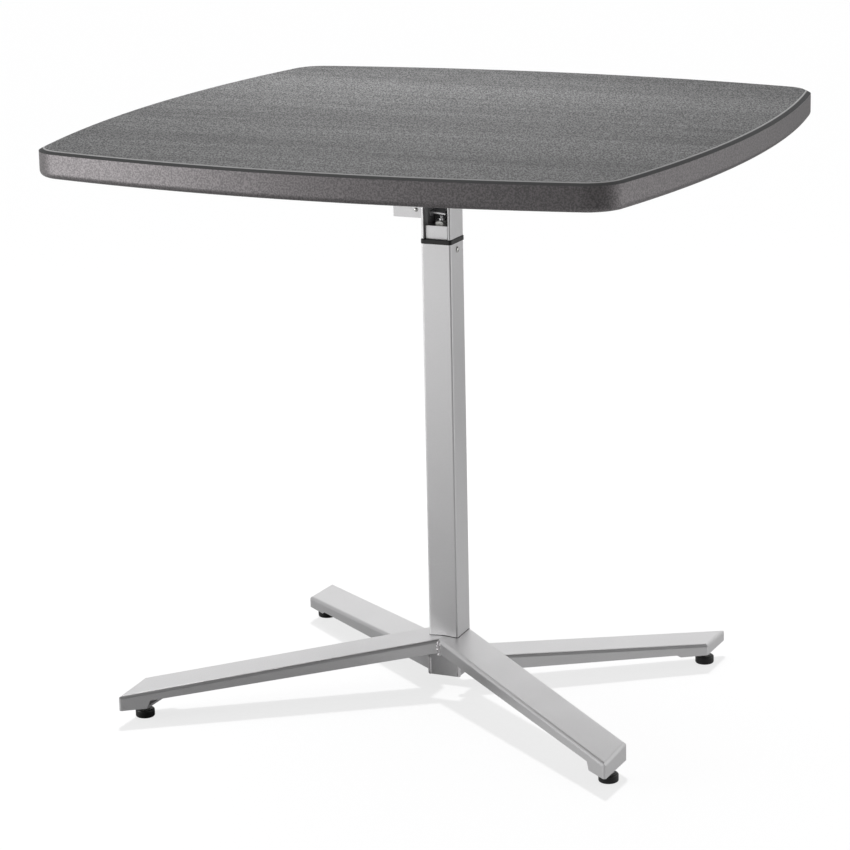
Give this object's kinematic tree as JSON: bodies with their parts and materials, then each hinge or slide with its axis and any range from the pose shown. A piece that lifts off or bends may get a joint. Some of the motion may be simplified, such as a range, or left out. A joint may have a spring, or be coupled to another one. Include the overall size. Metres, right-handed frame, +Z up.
{
  "type": "telescoping pedestal table",
  "caption": "Square bowed-sided table with a tilting hollow top on a gas-lifted square column and a four-leg, two-level nesting base with levelling glides.",
  "frame": {"origin": "on the floor, under the column's axis and the middle of the lowered top", "axes": "+Z up; the long front legs reach towards -Y; +X to the right seen from the front"},
  "size_m": [0.832, 0.832, 0.762],
  "materials": {
    "top_plastic": "printed grain on the face, pebbled rim",
    "silver_paint": "satin silver powder coat",
    "dark_paint": "satin black",
    "black_plastic": "moulded black",
    "zinc_plate": "zinc plated",
    "bright_steel": "hard chromed",
    "brass_insert": "plain",
    "black_rubber": "plain",
    "weld_metal": "weld bead under silver paint"
  },
  "bodies": {
    "base": {"outer_column_tube": "silver_paint", "upper_guide_bush": "black_plastic", "bush_retaining_screw": "silver_paint", "column_foot_plate": "silver_paint", "gas_cylinder": "dark_paint", "cylinder_foot_nut": "zinc_plate", "rod_guide": "black_plastic", "front_leg_left": "silver_paint", "front_leg_right": "silver_paint", "back_leg_left": "silver_paint", "back_leg_right": "silver_paint", "front_glide_plate_left": "silver_paint", "front_glide_plate_right": "silver_paint", "back_glide_plate_left": "silver_paint", "back_glide_plate_right": "silver_paint", "front_glide_nut_left": "zinc_plate", "front_glide_nut_right": "zinc_plate", "back_glide_nut_left": "zinc_plate", "back_glide_nut_right": "zinc_plate", "front_mitre_weld": "weld_metal", "back_mitre_weld": "weld_metal", "flange_corner_welds": "weld_metal", "column_ring_welds": "weld_metal"},
    "mast": {"inner_column_tube": "silver_paint", "lower_slide_shoe": "black_plastic", "head_end_plate": "zinc_plate", "head_bracket": "silver_paint", "gas_rod": "bright_steel", "gas_piston": "black_plastic", "rod_lock_nut": "zinc_plate", "valve_housing": "black_plastic", "lever_lugs": "zinc_plate", "lever_rivet": "zinc_plate", "pivot_spacer": "zinc_plate", "pivot_bolt": "zinc_plate", "pivot_washers": "black_plastic", "clamp_nut": "zinc_plate", "tilt_stop_bumper": "black_rubber"},
    "lever": {"release_lever": "silver_paint"},
    "valve": {"release_pin": "bright_steel"},
    "clamp": {"tilt_clamp_lever": "black_plastic"},
    "top": {"mounting_plate": "dark_paint", "ear_bushes": "black_plastic", "plate_screws": "zinc_plate", "screw_inserts": "brass_insert", "top_slab": "top_plastic"},
    "glide_front_left": {"front_glide_pad_left": "black_plastic", "front_glide_stud_left": "zinc_plate"},
    "glide_front_right": {"front_glide_pad_right": "black_plastic", "front_glide_stud_right": "zinc_plate"},
    "glide_back_left": {"back_glide_pad_left": "black_plastic", "back_glide_stud_left": "zinc_plate"},
    "glide_back_right": {"back_glide_pad_right": "black_plastic", "back_glide_stud_right": "zinc_plate"}
  },
  "joints": [
    {"name": "column_lift", "type": "slide", "parent": "base", "child": "mast", "axis": [0, 0, 1], "range_m": [0, 0.305]},
    {"name": "release_lever", "type": "hinge", "parent": "mast", "child": "lever", "pos_m": [-0.03265, 0, 0.6422], "axis": [0, 1, 0], "range_deg": [0, 5], "stiffness_Nm_per_rad": 0.6, "springref_deg": -6.88},
    {"name": "release_pin", "type": "slide", "parent": "mast", "child": "valve", "axis": [0, 0, -1], "range_m": [0, 0.003]},
    {"name": "top_tilt", "type": "hinge", "parent": "mast", "child": "top", "pos_m": [0, 0, 0.6975], "axis": [1, 0, 0], "range_deg": [0, 90]},
    {"name": "tilt_clamp", "type": "hinge", "parent": "mast", "child": "clamp", "pos_m": [0.03205, 0, 0.6975], "axis": [-1, 0, 0], "range_deg": [0, 90]},
    {"name": "glide_front_left_screw", "type": "slide", "parent": "base", "child": "glide_front_left", "axis": [0, 0, -1], "range_m": [0, 0.01]},
    {"name": "glide_front_right_screw", "type": "slide", "parent": "base", "child": "glide_front_right", "axis": [0, 0, -1], "range_m": [0, 0.01]},
    {"name": "glide_back_left_screw", "type": "slide", "parent": "base", "child": "glide_back_left", "axis": [0, 0, -1], "range_m": [0, 0.01]},
    {"name": "glide_back_right_screw", "type": "slide", "parent": "base", "child": "glide_back_right", "axis": [0, 0, -1], "range_m": [0, 0.01]}
  ],
  "couplings": [
    {"joint": "release_pin", "follows": "release_lever", "m_per_rad": 0.0339}
  ]
}
